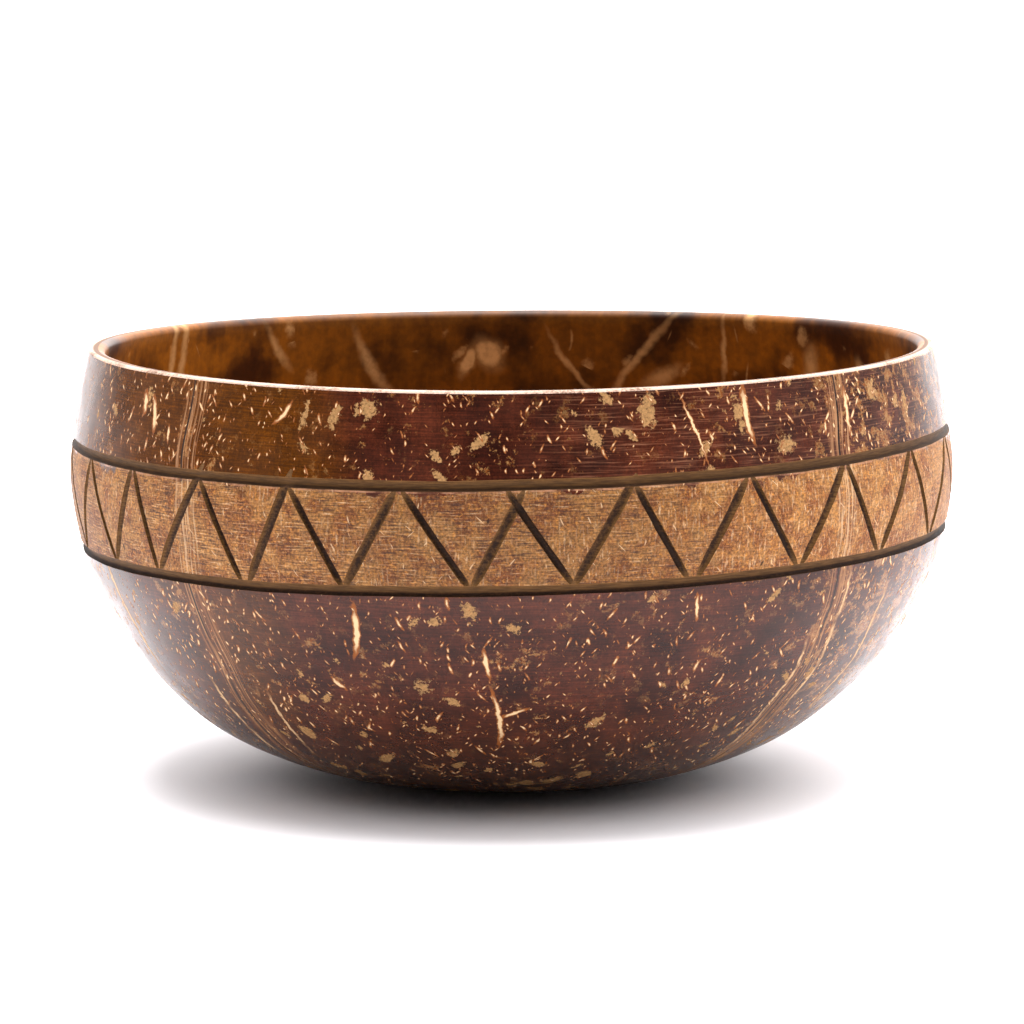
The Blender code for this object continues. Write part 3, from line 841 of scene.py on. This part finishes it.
# ---------------------------------------------------------------------------------------------------
# The gouge's cuts: fresh shell, burnished by the tool to a greyish olive brown along the cut. Painted
# shade: drawn darker in the bottom and on the lower flank of each ring, where the narrow cut lies in
# shadow. Slightly rough.
# ---------------------------------------------------------------------------------------------------
CUT_OLIVE = "5B3E1F"
CUT_PAINTED_SHADE = "200E03"
cut_face, tree, surface = new_material("coconut_shell_gouged")
at = shell_places(tree)
cut_depth = add(tree, "Attribute", {}, "Fac", attribute_name="cut_depth")
over_upper = add(tree, "Attribute", {}, "Fac", attribute_name="above_upper")
over_lower = add(tree, "Attribute", {}, "Fac", attribute_name="above_lower")
torn = grain(tree, at, 0.5, 71.0, 3.0, 0.65)
lengthwise = drawn(tree, at, 3.0, 0.22, 72.0)
depth = add(tree, "Math", [cut_depth, (torn, 0.3, 0.7, -0.12, 0.12)], **SUM)
far_off = [add(tree, "Math", {0: over}, **SIZE_ONLY) for over in (over_lower, over_upper)]
in_lower, in_upper = [add(tree, "MapRange", {0: off, 1: 0.9, 2: 0.7}, **SOFT) for off in far_off]
in_ring = add(tree, "Math", [in_lower, in_upper], **LARGEST)
# Painted shade: darker the deeper the cut, less so in the rings, and darker on the lower half of each ring.
shadow = add(tree, "Math", [(depth, 0.22, 0.80), (in_ring, 0.0, 1.0, 1.0, 0.30)], **PRODUCT)
lower_flank = add(tree, "Math", [in_lower, (over_lower, 0.05, -0.45)], **PRODUCT)
upper_flank = add(tree, "Math", [in_upper, (over_upper, -0.10, -0.6), 0.8], **PRODUCT)
shadow = add(tree, "Math", [shadow, lower_flank, upper_flank], **LARGEST)
shadow = add(tree, "Math", [shadow, (torn, 0.2, 0.6, 0.8, 1.0)], **PRODUCT)
colour = add(tree, "Mix", {0: shadow, 6: srgb(CUT_OLIVE), 7: srgb(CUT_PAINTED_SHADE)}, **COLOURS)
colour = add(tree, "VectorMath", {0: colour, "Scale": (lengthwise, 0.3, 0.7, 0.68, 1.35)}, **SCALED)
finish(tree, surface, colour, 0.7, shine=0.2, relief=lengthwise, strength=0.5, height=0.06)
carved.materials.append(cut_face)

carved.polygons.foreach_set("material_index", slots)
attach(bowl, "root")
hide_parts("coconut_shell")

# ---------------------------------------------------------------------------------------------------
# The floor: a broad sheet of white matt paper, so white that only the bowl's soft shadow shows on it.
# ---------------------------------------------------------------------------------------------------
FLOOR_SIZE = 9.0
PAPER_WHITE = "F8F5F8"
PAPER_GRAIN = 1.5 * MM
bpy.ops.mesh.primitive_plane_add(size=FLOOR_SIZE)
floor = bpy.context.object
floor.name = "white_paper_floor"
paper, tree, surface = new_material("white_matt_paper")
surface.inputs["Base Color"].default_value = srgb(PAPER_WHITE)
surface.inputs["Roughness"].default_value = 0.9
fibres = add(tree, "TexNoise", {"Vector": add(tree, "TexCoord", {}, "Object"), "Scale": 1 / PAPER_GRAIN})
bumps = add(tree, "Bump", {"Strength": 0.1, "Distance": 0.02 * MM, "Height": fibres})
tree.links.new(bumps, surface.inputs["Normal"])
floor.data.materials.append(paper)

# ---------------------------------------------------------------------------------------------------
# Studio light: a white room that is brighter behind the bowl than in front of it, and one large soft
# panel overhead. The sky seen straight past the bowl is plain white.
# ---------------------------------------------------------------------------------------------------
FRONT_LIGHT = 0.10
SIDE_LIGHT = 2.0
TOP_LIGHT = 1.35
BACK_LIGHT = 4.4
LOW_SHARE = 0.22
LEFT_SHARE = 0.56
RIGHT_SHARE = 1.32
SEEN_WHITE = 1.05
PANEL_SIZE = 1.2
PANEL_HEIGHT = 1.5
PANEL_BACK = 0.15
PANEL_POWER = 50.0
room = bpy.data.worlds.new("white_studio")
room.use_nodes = True
bpy.context.scene.world = room
tree = room.node_tree
way = add(tree, "SeparateXYZ", {0: add(tree, "TexCoord", {}, "Generated")}).node.outputs
strength = add(tree, "MapRange", {0: way[1], 1: -0.9, 2: 0.3, 3: FRONT_LIGHT, 4: SIDE_LIGHT}, **SOFT)
strength = add(tree, "Math", [strength, (way[2], 0.0, 0.6, LOW_SHARE, 1.0)], **PRODUCT)
above = add(tree, "MapRange", {0: way[2], 1: 0.35, 2: 0.8, 3: 0.0, 4: TOP_LIGHT}, **SOFT)
behind = add(tree, "MapRange", {0: way[1], 1: 0.70, 2: 0.98, 3: 0.0, 4: BACK_LIGHT}, **SOFT)
strength = add(tree, "Math", [strength, above, behind], **SUM)
strength = add(tree, "Math", [strength, (way[0], -0.9, 0.9, LEFT_SHARE, RIGHT_SHARE)], **PRODUCT)
seen_by_camera = add(tree, "LightPath", {}, "Is Camera Ray")
strength = add(tree, "Mix", {0: seen_by_camera, 2: strength, 3: SEEN_WHITE})
tree.links.new(strength, tree.nodes["Background"].inputs["Strength"])
tree.nodes["Background"].inputs["Color"].default_value = (1, 1, 1, 1)
panel_light = bpy.data.lights.new("overhead_softbox", "AREA")
panel_light.shape = "SQUARE"
panel_light.size = PANEL_SIZE
panel_light.energy = PANEL_POWER
panel = bpy.data.objects.new("overhead_softbox", panel_light)
panel.location = (0, PANEL_BACK, PANEL_HEIGHT)
panel.visible_camera = False
bpy.context.scene.collection.objects.link(panel)
bpy.context.scene.view_settings.view_transform = "Standard"

# ---------------------------------------------------------------------------------------------------
# The camera: a long lens, a little above the rim, looking slightly down at the front.
# ---------------------------------------------------------------------------------------------------
CAMERA_DISTANCE = 0.810
CAMERA_PITCH = math.radians(7.92)
CAMERA_LENS = 184.85
AIM_HEIGHT = 39.9 * MM
AIM_SIDE = 0.2 * MM
camera_data = bpy.data.cameras.new("camera")
camera_data.lens = CAMERA_LENS
camera = bpy.data.objects.new("camera", camera_data)
back_off = CAMERA_DISTANCE * math.cos(CAMERA_PITCH)
camera.location = (AIM_SIDE, -back_off, AIM_HEIGHT + CAMERA_DISTANCE * math.sin(CAMERA_PITCH))
camera.rotation_euler = (math.pi / 2 - CAMERA_PITCH, 0, 0)
bpy.context.scene.collection.objects.link(camera)
bpy.context.scene.camera = camera
